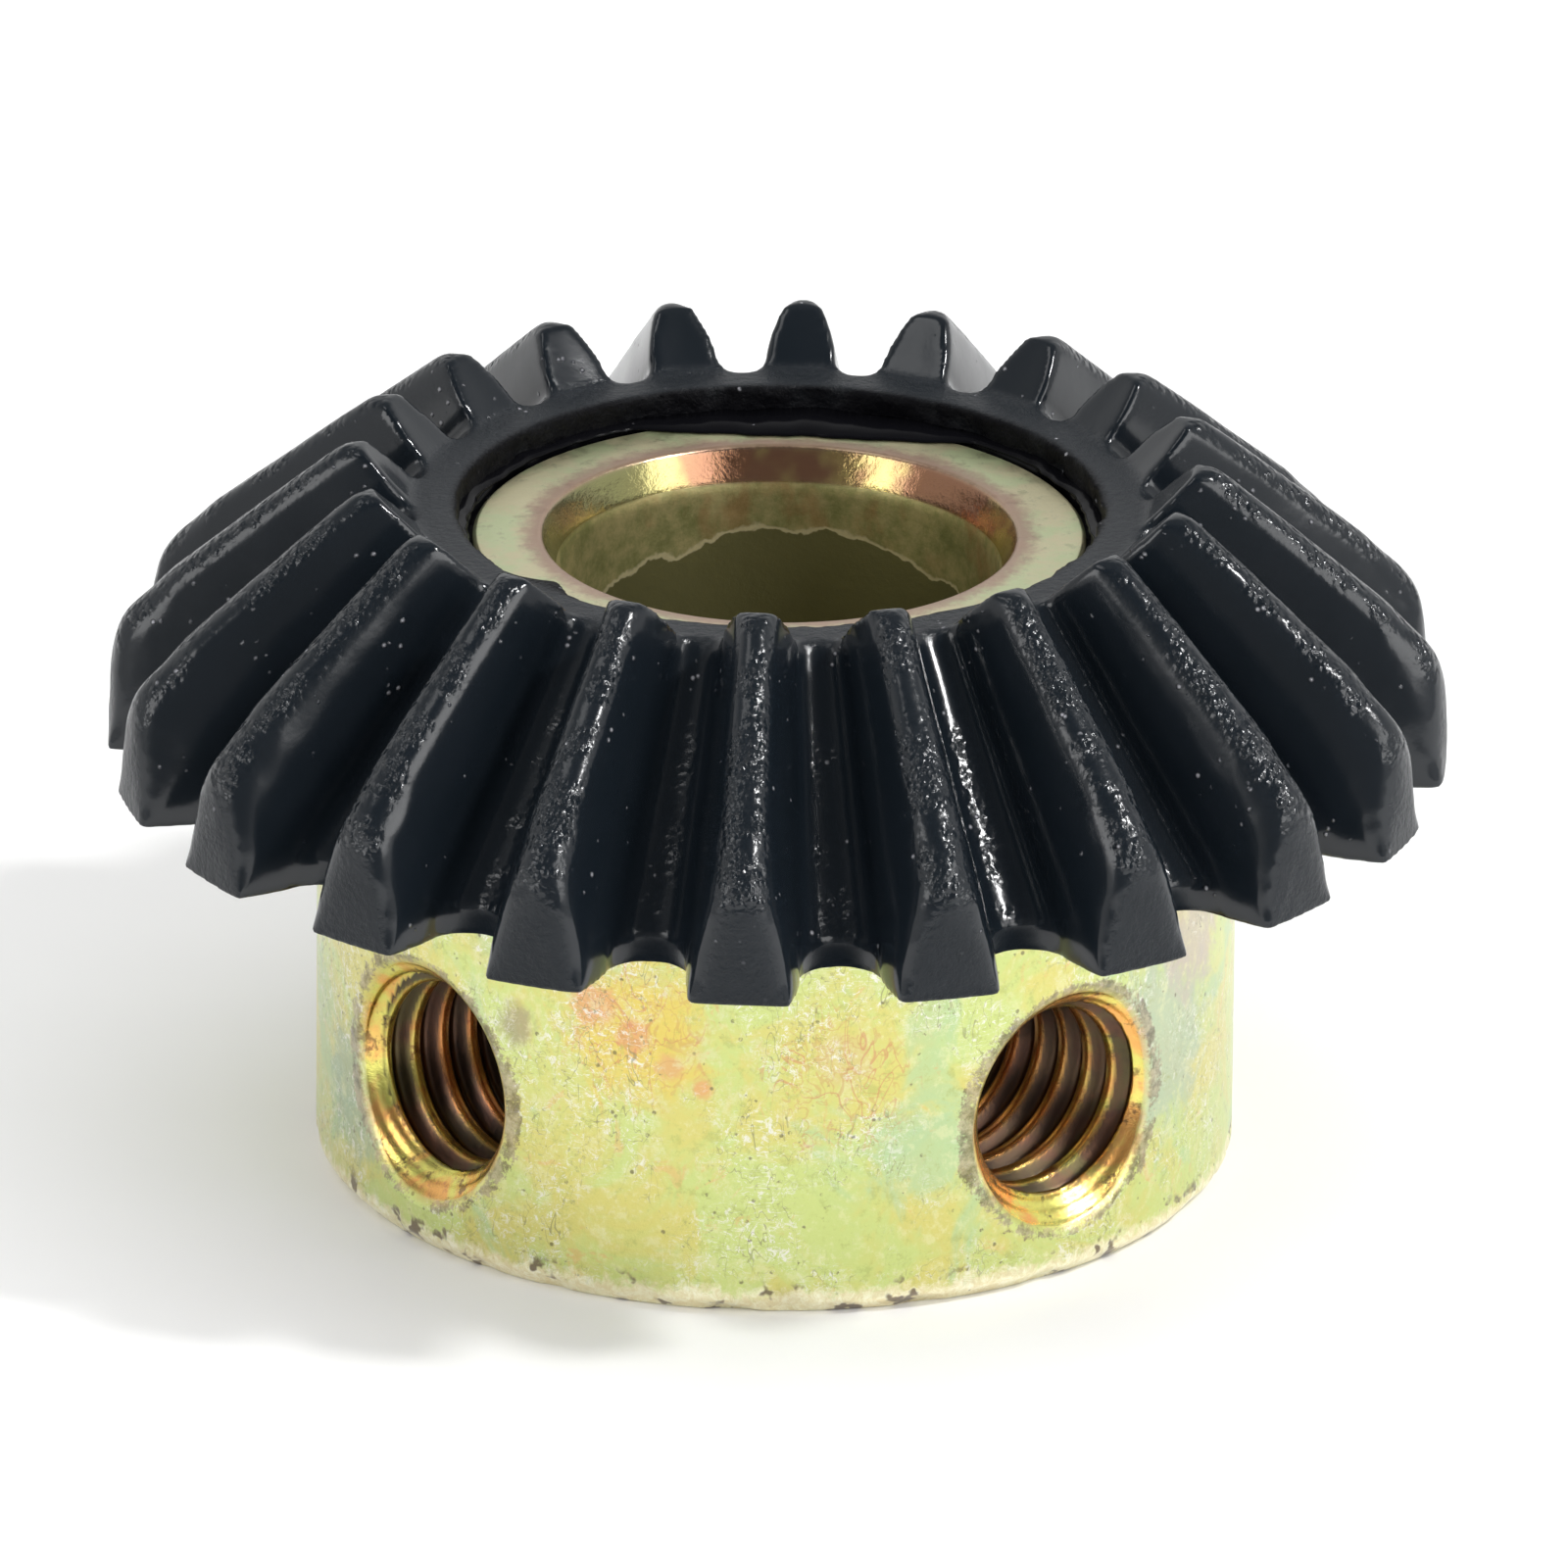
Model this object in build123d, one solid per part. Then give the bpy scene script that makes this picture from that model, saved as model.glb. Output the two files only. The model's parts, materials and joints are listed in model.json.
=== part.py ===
from build123d import *
import os
from math import acos, atan, cos, degrees, pi, radians, sin, tan

# Straight bevel gear: a toothed ring locked on the knurled spigot of a steel hub.
# Frame: +Z along the bore, from the hub's back face (z = 0) to the small end of the teeth.
# The two tapped holes stand 45 degrees each side of -Y. Millimetres and degrees.

# ---- teeth ----
module = 1.75
tooth_count = 20
pressure_angle = 20.0
pitch_angle = 46.4            # pitch cone, from the axis
pitch_circle_height = 13.2    # where the pitch circle of the large end lies
addendum = 1.00 * module
dedendum = 1.25 * module
backlash = 0.245              # taken off the tooth's thickness at the pitch circle
crest_land_depth = 0.04       # how far the turned blank cuts into the full round of the crests
tooth_clocking = 2.0          # how far the front tooth is turned from -Y
flank_points = 5

# ---- toothed ring ----
outer_radius = 18.2
underside_height = 11.4
parting_height = 12.2         # below this the teeth stand straight up and down
teeth_top_height = 22.0       # the teeth are cut this high, above the small end of the blank
small_end_radius = 11.58      # crest corner at the small end
large_corner_round = 1.9      # rounding of the crest at the large end
small_corner_round = 0.45
collar_height = 18.62
collar_radius = 8.8           # edge of the recess around the top of the hub
ledge_height = 17.5           # floor of that recess
ring_core_radius = 7.0        # inside the spigot, which is then cut out of the ring

# ---- hub ----
hub_radius = 12.5
hub_height = 17.8
bore_radius = 6.0
back_chamfer = 0.45
bore_back_chamfer = 0.5
bore_lead_radius = 6.45       # lead-in at the top of the bore
bore_lead_depth = 1.0
spigot_radius = 8.4
spigot_neck_radius = 8.0
spigot_neck_height = 16.2
spigot_edge = 0.25
knurl_count = 24
knurl_radius = 0.55
lock_groove_height = 13.9
lock_groove_width = 1.4
lock_groove_radius = 7.6

# ---- two tapped holes, M6 x 1, whose walls are at the thread's crests ----
hole_angles = (-45.0, -135.0)
hole_height = 4.9
thread_minor_radius = 2.56
countersink_radius = 3.5      # at the hub's surface, walls at 45 degrees

# ---- cone geometry that follows from the above ----
pitch_radius = module * tooth_count / 2
cone_distance = pitch_radius / sin(radians(pitch_angle))
apex_height = pitch_circle_height + pitch_radius / tan(radians(pitch_angle))
face_angle = pitch_angle + degrees(atan((addendum - crest_land_depth) / cone_distance))

# Tredgold's plane spur gear, unrolled from the back cone
plane_pitch_radius = pitch_radius / cos(radians(pitch_angle))
plane_base_radius = plane_pitch_radius * cos(radians(pressure_angle))
plane_tip_radius = plane_pitch_radius + addendum
plane_root_radius = plane_pitch_radius - dedendum
plane_half_pitch = pi * cos(radians(pitch_angle)) / tooth_count


def involute(angle):
    return tan(angle) - angle


def half_thickness(radius):
    """Half of the tooth's angle at a radius of the plane gear, in radians."""
    at_pitch = (pi * module / 2 - backlash) / 2 / plane_pitch_radius
    pressure = acos(min(1.0, plane_base_radius / radius))
    return at_pitch + involute(radians(pressure_angle)) - involute(pressure)


def flank_angle(radius):
    """Angle between the flank and the tooth's middle line."""
    return acos(min(1.0, plane_base_radius / radius)) - half_thickness(radius)


def round_tip():
    """Radius where the full round of the tip leaves the flank, and the round's size."""
    low, high = plane_pitch_radius, plane_tip_radius
    for _ in range(40):
        radius = (low + high) / 2
        half = radius * sin(half_thickness(radius))
        size = half / cos(flank_angle(radius))
        top = radius * cos(half_thickness(radius)) - size * sin(flank_angle(radius)) + size
        low, high = (radius, high) if top < plane_tip_radius else (low, radius)
    return radius, size


def round_root():
    """Radius where the full round of the root leaves the flank, and the round's size."""
    low, high = plane_base_radius, plane_pitch_radius
    for _ in range(40):
        radius = (low + high) / 2
        space = plane_half_pitch - half_thickness(radius)
        slope = acos(min(1.0, plane_base_radius / radius)) + space
        size = radius * sin(space) / cos(slope)
        bottom = radius * cos(space) + size * sin(slope) - size
        low, high = (radius, high) if bottom < plane_root_radius else (low, radius)
    return radius, size


def on_section(radius, angle, depth):
    """Point of the plane gear, carried to a level section that lies `depth` below the apex."""
    cone = radians(pitch_angle) + atan((radius - plane_pitch_radius) / cone_distance)
    turn = angle / cos(radians(pitch_angle))
    return Vector(depth * tan(cone) * cos(turn), depth * tan(cone) * sin(turn))


def tooth_edges(depth):
    """Root round, flank, tip round and flank of the tooth on +X."""
    tip_start, _ = round_tip()
    root_start, _ = round_root()
    radii = [root_start + (tip_start - root_start) * i / (flank_points - 1) for i in range(flank_points)]
    rising = [on_section(r, -half_thickness(r), depth) for r in radii]
    falling = [on_section(r, half_thickness(r), depth) for r in reversed(radii)]
    before = on_section(root_start, half_thickness(root_start) - 2 * plane_half_pitch, depth)
    valley = on_section(plane_root_radius, -plane_half_pitch, depth)
    crest = on_section(plane_tip_radius, 0, depth)
    return [
        ThreePointArc(before, valley, rising[0]),
        Spline(*rising),
        ThreePointArc(rising[-1], crest, falling[0]),
        Spline(*falling),
    ]


def tooth_section(height):
    """The outline of all the teeth, cut level at a height."""
    edges = []
    for i in range(tooth_count):
        turn = -90 + tooth_clocking + i * 360 / tooth_count
        edges += [edge.rotate(Axis.Z, turn) for edge in tooth_edges(apex_height - height)]
    return Face(Wire(edges)).moved(Location((0, 0, height)))


def ring_blank():
    """The ring as turned, before the teeth are cut."""
    crest_height = apex_height - outer_radius / tan(radians(face_angle))
    small_end_height = apex_height - small_end_radius / tan(radians(face_angle))
    small_end_root = small_end_radius - (small_end_height - collar_height)
    outline = Polyline(
        (ring_core_radius, underside_height),
        (outer_radius, underside_height),
        (outer_radius, crest_height),
        (small_end_radius, small_end_height),
        (small_end_root, collar_height),
        (collar_radius, collar_height),
        (collar_radius, ledge_height),
        (ring_core_radius, ledge_height),
        close=True,
    )
    profile = make_face(outline)
    corners = (
        ((outer_radius, crest_height, 0), large_corner_round),
        ((small_end_radius, small_end_height, 0), small_corner_round),
    )
    for corner, size in corners:
        profile = fillet(profile.vertices().sort_by_distance(corner)[0], size)
    return revolve(Plane.XZ * profile, Axis.Z)


def hub_blank():
    """The hub as turned and knurled, before the cross holes."""
    groove_bottom = lock_groove_height - lock_groove_width / 2
    groove_top = lock_groove_height + lock_groove_width / 2
    outline = Polyline(
        (bore_radius + bore_back_chamfer, 0),
        (hub_radius - back_chamfer, 0),
        (hub_radius, back_chamfer),
        (hub_radius, underside_height),
        (spigot_radius, underside_height),
        (spigot_radius, groove_bottom),
        (lock_groove_radius, groove_bottom),
        (lock_groove_radius, groove_top),
        (spigot_radius, groove_top),
        (spigot_radius, spigot_neck_height),
        (spigot_neck_radius, spigot_neck_height),
        (spigot_neck_radius, hub_height - spigot_edge),
        (spigot_neck_radius - spigot_edge, hub_height),
        (bore_lead_radius, hub_height),
        (bore_radius, hub_height - bore_lead_depth),
        (bore_radius, bore_back_chamfer),
        close=True,
    )
    body = revolve(Plane.XZ * make_face(outline), Axis.Z)
    knurl_height = spigot_neck_height - underside_height
    flute = Cylinder(knurl_radius, knurl_height, align=(Align.CENTER, Align.CENTER, Align.MIN))
    flutes = [
        Rot(0, 0, i * 360 / knurl_count) * Pos(spigot_radius, 0, underside_height) * flute
        for i in range(knurl_count)
    ]
    return body - flutes


def tapped_hole():
    """What the drill and the countersink take out of the hub, along +X."""
    start = bore_radius - 1
    seat = hub_radius - (countersink_radius - thread_minor_radius)
    outline = Polyline(
        (start, 0),
        (start, thread_minor_radius),
        (seat, thread_minor_radius),
        (hub_radius + 1, countersink_radius + 1),
        (hub_radius + 1, 0),
        close=True,
    )
    return revolve(make_face(outline), Axis.X)


def hub():
    body = hub_blank()
    for angle in hole_angles:
        place = Rot(0, 0, angle) * Pos(0, 0, hole_height)
        body -= place * tapped_hole()
    return body


def toothed_ring():
    lower = extrude(tooth_section(parting_height), parting_height - underside_height, dir=(0, 0, -1))
    upper = loft([tooth_section(parting_height), tooth_section(teeth_top_height)], ruled=True)
    return (lower + upper) & (ring_blank() - hub_blank())


def main():
    os.makedirs("parts", exist_ok=True)
    for name, piece in (("hub", hub()), ("toothed_ring", toothed_ring())):
        piece.label = name
        export_step(piece, f"parts/{name}.step")


main()
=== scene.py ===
import json
from math import atan2, ceil, cos, pi, radians, sin

import bmesh
import bpy
import numpy as np
from mathutils import Matrix, Vector, noise


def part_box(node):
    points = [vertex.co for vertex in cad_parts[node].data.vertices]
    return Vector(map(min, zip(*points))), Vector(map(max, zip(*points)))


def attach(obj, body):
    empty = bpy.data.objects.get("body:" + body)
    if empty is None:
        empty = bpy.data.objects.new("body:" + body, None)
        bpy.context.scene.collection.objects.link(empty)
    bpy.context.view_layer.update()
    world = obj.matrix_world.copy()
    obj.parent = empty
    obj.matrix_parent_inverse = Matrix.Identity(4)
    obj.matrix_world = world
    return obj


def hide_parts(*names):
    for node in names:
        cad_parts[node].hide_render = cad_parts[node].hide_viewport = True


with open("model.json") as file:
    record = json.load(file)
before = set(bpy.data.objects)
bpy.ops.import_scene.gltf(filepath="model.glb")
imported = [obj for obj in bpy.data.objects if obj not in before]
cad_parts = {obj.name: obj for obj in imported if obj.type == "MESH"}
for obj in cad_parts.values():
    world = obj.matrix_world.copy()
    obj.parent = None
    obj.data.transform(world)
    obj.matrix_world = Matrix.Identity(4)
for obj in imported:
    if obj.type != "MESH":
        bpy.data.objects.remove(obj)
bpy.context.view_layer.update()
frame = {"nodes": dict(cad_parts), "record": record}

# A straight bevel gear: a near-black moulded ring on a yellow-plated steel hub.
# Shapes are worked out in millimetres in the frame's axes, and turned into metres as each object is made.

MM = 0.001
mounts = {m["name"]: m for m in frame["record"]["mounts"]}
hub_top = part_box("hub")[1] / MM
ring_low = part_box("toothed_ring")[0] / MM
ring_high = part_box("toothed_ring")[1] / MM

# ---- hub ----
hub_radius = hub_top.x
hub_height = hub_top.z
shoulder_height = ring_low.z
bore_radius = mounts["bore"]["dims"]["r_mm"]
back_chamfer = 0.45
bore_back_chamfer = 0.5
bore_lead_radius = 6.45
bore_lead_depth = 1.0
spigot_radius = 8.4
spigot_neck_radius = 8.0
spigot_neck_height = 16.2
spigot_lip_radius = 8.32      # the end is spread a little over the step in the moulding
spigot_lip_height = 0.22
spigot_edge = 0.1
knurl_count = 24
knurl_radius = 0.55
lock_groove = (13.2, 14.6)
lock_groove_radius = 7.6
back_seam_radius = 9.0        # where the bore's coarse mesh meets the fine mesh outside, on each flat end
top_seam_radius = 7.2
outer_columns = 384
bore_columns = outer_columns // 2
seam_gap = 0.25               # between the last rows of the coarse and the fine mesh
nick_size = 0.9               # worn places round the foot
nick_threshold = 0.18
nick_depth = 0.35

# ---- tapped holes, M6 x 1 ----
hole_height = mounts["set_screw_right"]["pos_m"][2] / MM
hole_axes = [mounts[name]["axis"] for name in ("set_screw_right", "set_screw_left")]
hole_angles = [atan2(axis[1], axis[0]) for axis in hole_axes]
thread_radius = mounts["set_screw_right"]["dims"]["r_mm"]
thread_pitch = 1.0
thread_depth = 0.42
groove_half_width = 0.40      # of a pitch, at the crests
groove_root_half_width = 0.07
groove_start = 0.13           # share of the hole's depth where the thread begins
countersink_radius = 3.5
tool_mark_pitch = 0.27        # fine turned lines in the countersink
tool_mark_depth = 0.012
thread_row_step = 0.05        # spacing of the rows of points along the thread
mouth_lip = 0.08              # broken edge round the mouth
rim_stain_width = 0.24        # how far the dark stain spreads round it
mouth_rings = 8               # rows of faces from each window in to the hole, outside and in the bore
bore_mouth_rings = 6
window_cells = 40             # the mesh of the hub's side opens in a square window round each hole
window_size = 2 * pi * hub_radius / outer_columns * window_cells
bore_window_columns = 36
bore_window_rows = 2 * window_cells - bore_window_columns
bore_window_height = 6.8

# ---- toothed ring ----
tooth_count = 20
tooth_clocking = radians(2.0)  # how far the front tooth is turned from -Y
apex_height = 29.865
pitch_angle = radians(46.4)
voxel = 0.13
relax_share = 0.5              # how far a point moves towards its neighbours' mean in one round
ring_rounds = 3
crest_rounds = 24
heel_rounds = 80
heel_soft_radius = 17.0        # the moulded corners are softer outside this radius
crest_soft_cone = 49.4         # and so are the crests, outside this cone about the apex, in degrees
toe_soft_start = 11.5          # and most of all at the toes, between these radii
toe_soft_end = 13.5
toe_share = 0.55               # how much of the crests' softness is kept for the toes
wave_size = 1.7                # uneven surface of the whole moulding
wave_depth = 0.015
dent_size = 0.8                # and of its heels
dent_depth = 0.02
collar_radius = 9.9            # edge of the flat collar inside the teeth
ledge_height = 17.5            # floor of the step between the collar and the hub
step_radius = 8.8
ragged_depth = 0.16            # of the collar's inner edge
ragged_mean = 0.06
flap_turn = -131.0             # degrees, where a flap of flash hangs over the step
flap_spread = 4.0              # degrees
flap_reach = 0.5
flap_height = 18.3

# ---- flash round the hub's end ----
flash_back = pi / 2            # where the flash creeps furthest over the hub's end
flash_straight = 7.0           # how near its straight edge comes to the axis there
flash_columns = 480
flash_gap = 0.1                # between the lip of the hub and the flash elsewhere
flash_foot_gap = 0.13
flash_sunk = 0.12              # how far the flash runs into the collar
flash_ragged = 0.11
flash_thickness = 0.15


# ------------------------------------------------------------------ mesh helpers

class Shell:
    """Points and faces of one closed mesh, in millimetres."""

    def __init__(self):
        self.points = []
        self.faces = []

    def row(self, points):
        start = len(self.points)
        self.points.extend(tuple(p) for p in points)
        return list(range(start, start + len(points)))

    def circle(self, radius, height, count):
        turns = [2 * pi * i / count for i in range(count)]
        return self.row([(radius * cos(t), radius * sin(t), height) for t in turns])

    def band(self, lower, upper, skip=()):
        """Faces between two closed rows, with none at the skipped columns."""
        count = len(lower)
        for i in range(count):
            if i in skip:
                continue
            j = (i + 1) % count
            self.faces.append((lower[i], lower[j], upper[j], upper[i]))

    def halving_band(self, fine, coarse):
        """Faces between a row and one with half as many points."""
        for i in range(len(coarse)):
            j = (i + 1) % len(coarse)
            self.faces.append((fine[2 * i], fine[2 * i + 1], fine[2 * j], coarse[j], coarse[i]))


def make_object(name, points, faces):
    """An object from points in millimetres, smooth shaded, with its faces turned outwards."""
    mesh = bpy.data.meshes.new(name)
    mesh.from_pydata((np.asarray(points) * MM).tolist(), [], faces)
    work = bmesh.new()
    work.from_mesh(mesh)
    bmesh.ops.recalc_face_normals(work, faces=work.faces)
    work.to_mesh(mesh)
    work.free()
    mesh.shade_smooth()
    piece = bpy.data.objects.new(name, mesh)
    bpy.context.scene.collection.objects.link(piece)
    return piece


def mesh_points(mesh):
    co = np.empty(len(mesh.vertices) * 3, np.float32)
    mesh.vertices.foreach_get("co", co)
    return co.reshape(-1, 3).astype(float) / MM


def set_mesh_points(mesh, points):
    mesh.vertices.foreach_set("co", (points * MM).astype(np.float32).ravel())
    mesh.update()


def mesh_normals(mesh):
    normals = np.empty(len(mesh.vertices) * 3, np.float32)
    mesh.vertex_normals.foreach_get("vector", normals)
    return normals.reshape(-1, 3).astype(float)


def set_mask(mesh, name, values):
    """Keeps one number per point for the material to read."""
    mesh.attributes.new(name, "FLOAT", "POINT").data.foreach_set("value", values.astype(np.float32))


def noise_at(points, size, seed):
    """Smooth noise of about -1 to 1 at each point, with features of the given size in millimetres."""
    offset = Vector((seed * 7.31, seed * 3.17, seed * 5.53))
    return np.array([noise.noise(Vector(p) / size + offset) for p in points])


def smooth_step(low, high, values):
    t = np.clip((values - low) / (high - low), 0, 1)
    return t * t * (3 - 2 * t)


# ------------------------------------------------------------------ hub

def rounded(corners, steps=4):
    """Points of a line through (radius, height, rounding) corners."""
    line = [Vector(corners[0][:2])]
    for before, corner, after in zip(corners, corners[1:], corners[2:]):
        here = Vector(corner[:2])
        if not corner[2]:
            line.append(here)
            continue
        start = here + (Vector(before[:2]) - here).normalized() * corner[2]
        end = here + (Vector(after[:2]) - here).normalized() * corner[2]
        for k in range(steps + 1):
            s = k / steps
            line.append(start * (1 - s) ** 2 + here * 2 * s * (1 - s) + end * s ** 2)
    line.append(Vector(corners[-1][:2]))
    return line


def filled(line, step):
    """The same line with points added where they are further apart than the step."""
    points = [line[0]]
    for a, b in zip(line, line[1:]):
        count = max(1, ceil((b - a).length / step))
        points += [a.lerp(b, k / count) for k in range(1, count + 1)]
    return points


def even(start, end, count):
    return [start + (end - start) * k / count for k in range(count + 1)]


def hole_wall(x, angle):
    """Radius of a tapped hole's wall, x from the gear's axis and at an angle round the hole."""
    cone = countersink_radius - (hub_radius - x) + tool_mark_depth * np.sin(2 * pi * x / tool_mark_pitch)
    phase = (x / thread_pitch - angle / (2 * pi)) % 1
    groove = (groove_half_width - np.abs(phase - 0.5)) / (groove_half_width - groove_root_half_width)
    thread = thread_radius + thread_depth * smooth_step(-0.12, 1.12, groove)
    return np.maximum(cone, thread)


def reach(angle, cylinder_radius):
    """Where the hole's wall meets a cylinder about the gear's axis: distance out, and wall radius."""
    x = np.full_like(angle, cylinder_radius)
    for _ in range(30):
        wall = hole_wall(x, angle)
        x = (x + np.sqrt(cylinder_radius ** 2 - (wall * np.cos(angle)) ** 2)) / 2
    wall = hole_wall(x, angle)
    return np.sqrt(cylinder_radius ** 2 - (wall * np.cos(angle)) ** 2), wall


def hole_points(hole_angle, x, wall, angle):
    """Points round a hole's axis, in the frame's axes."""
    side = wall * np.cos(angle)
    return np.column_stack([
        x * cos(hole_angle) - side * sin(hole_angle),
        x * sin(hole_angle) + side * cos(hole_angle),
        hole_height + wall * np.sin(angle),
    ])


def cut_border(rows, first_column, columns):
    """The points round a window in a grid of rows, from its low corner and anticlockwise."""
    count = len(rows[0])
    cells = [(first_column + i) % count for i in range(columns + 1)]
    low = [rows[0][i] for i in cells]
    right = [row[cells[-1]] for row in rows[1:]]
    high = [rows[-1][i] for i in reversed(cells[:-1])]
    left = [row[cells[0]] for row in reversed(rows[1:-1])]
    return low + right + high + left


def wrap_patch(shell, border, inner, radius, hole_angle, rings):
    """Rings of faces on a cylinder, from a window's border in to the hole's edge: the innermost row."""
    def unrolled(points):
        around = np.arctan2(points[:, 1], points[:, 0]) - hole_angle
        around = (around + pi) % (2 * pi) - pi
        return np.column_stack([around * radius, points[:, 2]])

    outside = unrolled(np.array([shell.points[i] for i in border]))
    inside = unrolled(inner)
    row = border
    for k in range(1, rings + 1):
        flat = outside + (inside - outside) * (k / rings)
        turn = flat[:, 0] / radius + hole_angle
        points = np.column_stack([radius * np.cos(turn), radius * np.sin(turn), flat[:, 1]])
        next_row = shell.row(points)
        shell.band(row, next_row)
        row = next_row
    return row


def bore_the_hole(shell, hole_angle, border, bore_border):
    """A tapped hole from the window in the hub's side to the window in its bore."""
    count = len(border)
    angle = -3 * pi / 4 + 2 * pi * np.arange(count) / count
    mouth_x, mouth_wall = reach(angle, hub_radius)
    end_x, end_wall = reach(angle, bore_radius)
    rim_wall = mouth_wall + mouth_lip
    rim_x = np.sqrt(hub_radius ** 2 - (rim_wall * np.cos(angle)) ** 2)
    rim = hole_points(hole_angle, rim_x, rim_wall, angle)
    row = wrap_patch(shell, border, rim, hub_radius, hole_angle, mouth_rings)
    depth = float(np.max(mouth_x - end_x))
    rows = ceil(depth / thread_row_step)
    for k in range(rows):
        share = (k + 0.5) / rows
        x = mouth_x - mouth_lip + (end_x - mouth_x + mouth_lip) * share
        wall = hole_wall(x, angle)
        next_row = shell.row(hole_points(hole_angle, x, wall, angle))
        shell.band(row, next_row)
        row = next_row
    bore_edge = hole_points(hole_angle, end_x, end_wall, angle)
    inside = wrap_patch(shell, bore_border, bore_edge, bore_radius, hole_angle, bore_mouth_rings)
    shell.band(row, inside)


def knurled(row_points, radius):
    """Flutes pressed into a row of the spigot."""
    angle = np.arctan2(row_points[:, 1], row_points[:, 0])
    pitch = 2 * pi / knurl_count
    off = ((angle + pitch / 2) % pitch - pitch / 2) * radius
    deep = np.sqrt(np.clip(knurl_radius ** 2 - off ** 2, 0, None))
    scale = (radius - deep) / radius
    return row_points * np.column_stack([scale, scale, np.ones_like(scale)])


def hub_shell():
    shell = Shell()
    window_low = hole_height - window_size / 2
    window_high = hole_height + window_size / 2
    groove_low, groove_high = lock_groove
    foot = filled(rounded([
        (back_seam_radius, 0, 0),
        (hub_radius - back_chamfer, 0, 0.1),
        (hub_radius, back_chamfer, 0.12),
        (hub_radius, window_low, 0),
    ]), 0.2)
    side = [Vector((hub_radius, z)) for z in even(window_low, window_high, window_cells)]
    shoulder = filled(rounded([
        (hub_radius, window_high, 0),
        (hub_radius, shoulder_height, 0.1),
        (spigot_radius, shoulder_height, 0.05),
        (spigot_radius, groove_low, 0.05),
        (lock_groove_radius, groove_low, 0.05),
        (lock_groove_radius, groove_high, 0.05),
        (spigot_radius, groove_high, 0.05),
        (spigot_radius, spigot_neck_height, 0.05),
        (spigot_neck_radius, spigot_neck_height, 0.05),
        (spigot_neck_radius, hub_height - spigot_lip_height, 0.05),
        (spigot_lip_radius, hub_height - spigot_lip_height, 0.05),
        (spigot_lip_radius, hub_height - spigot_edge, 0.04),
        (spigot_lip_radius - spigot_edge, hub_height, 0.04),
        (top_seam_radius, hub_height, 0),
    ]), 0.3)
    outer = foot + side[1:] + shoulder[1:]
    rows = [shell.circle(p.x, p.y, outer_columns) for p in outer]
    for p, row in zip(outer, rows):
        if shoulder_height < p.y < spigot_neck_height and p.x > spigot_radius - 0.02:
            cut = knurled(np.array([shell.points[i] for i in row]), p.x)
            for i, point in zip(row, cut):
                shell.points[i] = tuple(point)

    bore_low = hole_height - bore_window_height / 2
    bore_high = hole_height + bore_window_height / 2
    lead = filled(rounded([
        (top_seam_radius - seam_gap, hub_height, 0),
        (bore_lead_radius, hub_height, 0.12),
        (bore_radius, hub_height - bore_lead_depth, 0.25),
        (bore_radius, bore_high, 0),
    ]), 0.25)
    bore = [Vector((bore_radius, z)) for z in even(bore_high, bore_low, bore_window_rows)]
    back = filled(rounded([
        (bore_radius, bore_low, 0),
        (bore_radius, bore_back_chamfer, 0.1),
        (bore_radius + bore_back_chamfer, 0, 0.1),
        (back_seam_radius - 0.3, 0, 0),
    ]), 0.3)
    inner = lead + bore[1:] + back[1:]
    inner_rows = [shell.circle(p.x, p.y, bore_columns) for p in inner]

    window_columns = set()
    bore_window = set()
    for hole_angle in hole_angles:
        first = round(hole_angle / (2 * pi) * outer_columns) - window_cells // 2
        window_columns |= {(first + i) % outer_columns for i in range(window_cells)}
        bore_first = round(hole_angle / (2 * pi) * bore_columns) - bore_window_columns // 2
        bore_window |= {(bore_first + i) % bore_columns for i in range(bore_window_columns)}
        window = rows[len(foot) - 1:len(foot) + window_cells]
        in_bore = inner_rows[len(lead) - 1:len(lead) + bore_window_rows]
        bore_the_hole(
            shell,
            hole_angle,
            cut_border(window, first, window_cells),
            cut_border(in_bore[::-1], bore_first, bore_window_columns),
        )
    for k, (lower, upper) in enumerate(zip(rows, rows[1:])):
        inside = len(foot) - 1 <= k < len(foot) - 1 + window_cells
        shell.band(lower, upper, window_columns if inside else ())
    for k, (lower, upper) in enumerate(zip(inner_rows, inner_rows[1:])):
        inside = len(lead) - 1 <= k < len(lead) - 1 + bore_window_rows
        shell.band(lower, upper, bore_window if inside else ())
    shell.halving_band(rows[-1], inner_rows[0])
    shell.halving_band(rows[0], inner_rows[-1])
    return shell


def wear_hub(points):
    """Nicks in the edge of the hub's foot."""
    radius = np.hypot(points[:, 0], points[:, 1])
    outside = smooth_step(hub_radius - 0.7, hub_radius - 0.3, radius)
    near_foot = outside * (1 - smooth_step(0.5, 1.1, points[:, 2]))
    nick = np.clip(noise_at(points, nick_size, 1) - nick_threshold, 0, None) * near_foot * nick_depth
    worn = points.copy()
    scale = 1 - nick / np.maximum(radius, 1)
    worn[:, 0] *= scale
    worn[:, 1] *= scale
    return worn


def hole_place(points):
    """Each point's distance from the nearer hole's axis, and how far it is along that axis."""
    away = np.full(len(points), 1e3)
    along = np.zeros(len(points))
    for hole_angle in hole_angles:
        x = points[:, 0] * cos(hole_angle) + points[:, 1] * sin(hole_angle)
        side = -points[:, 0] * sin(hole_angle) + points[:, 1] * cos(hole_angle)
        here = np.where(x > 0, np.hypot(side, points[:, 2] - hole_height), 1e3)
        along = np.where(here < away, x, along)
        away = np.minimum(here, away)
    return away, along


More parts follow.
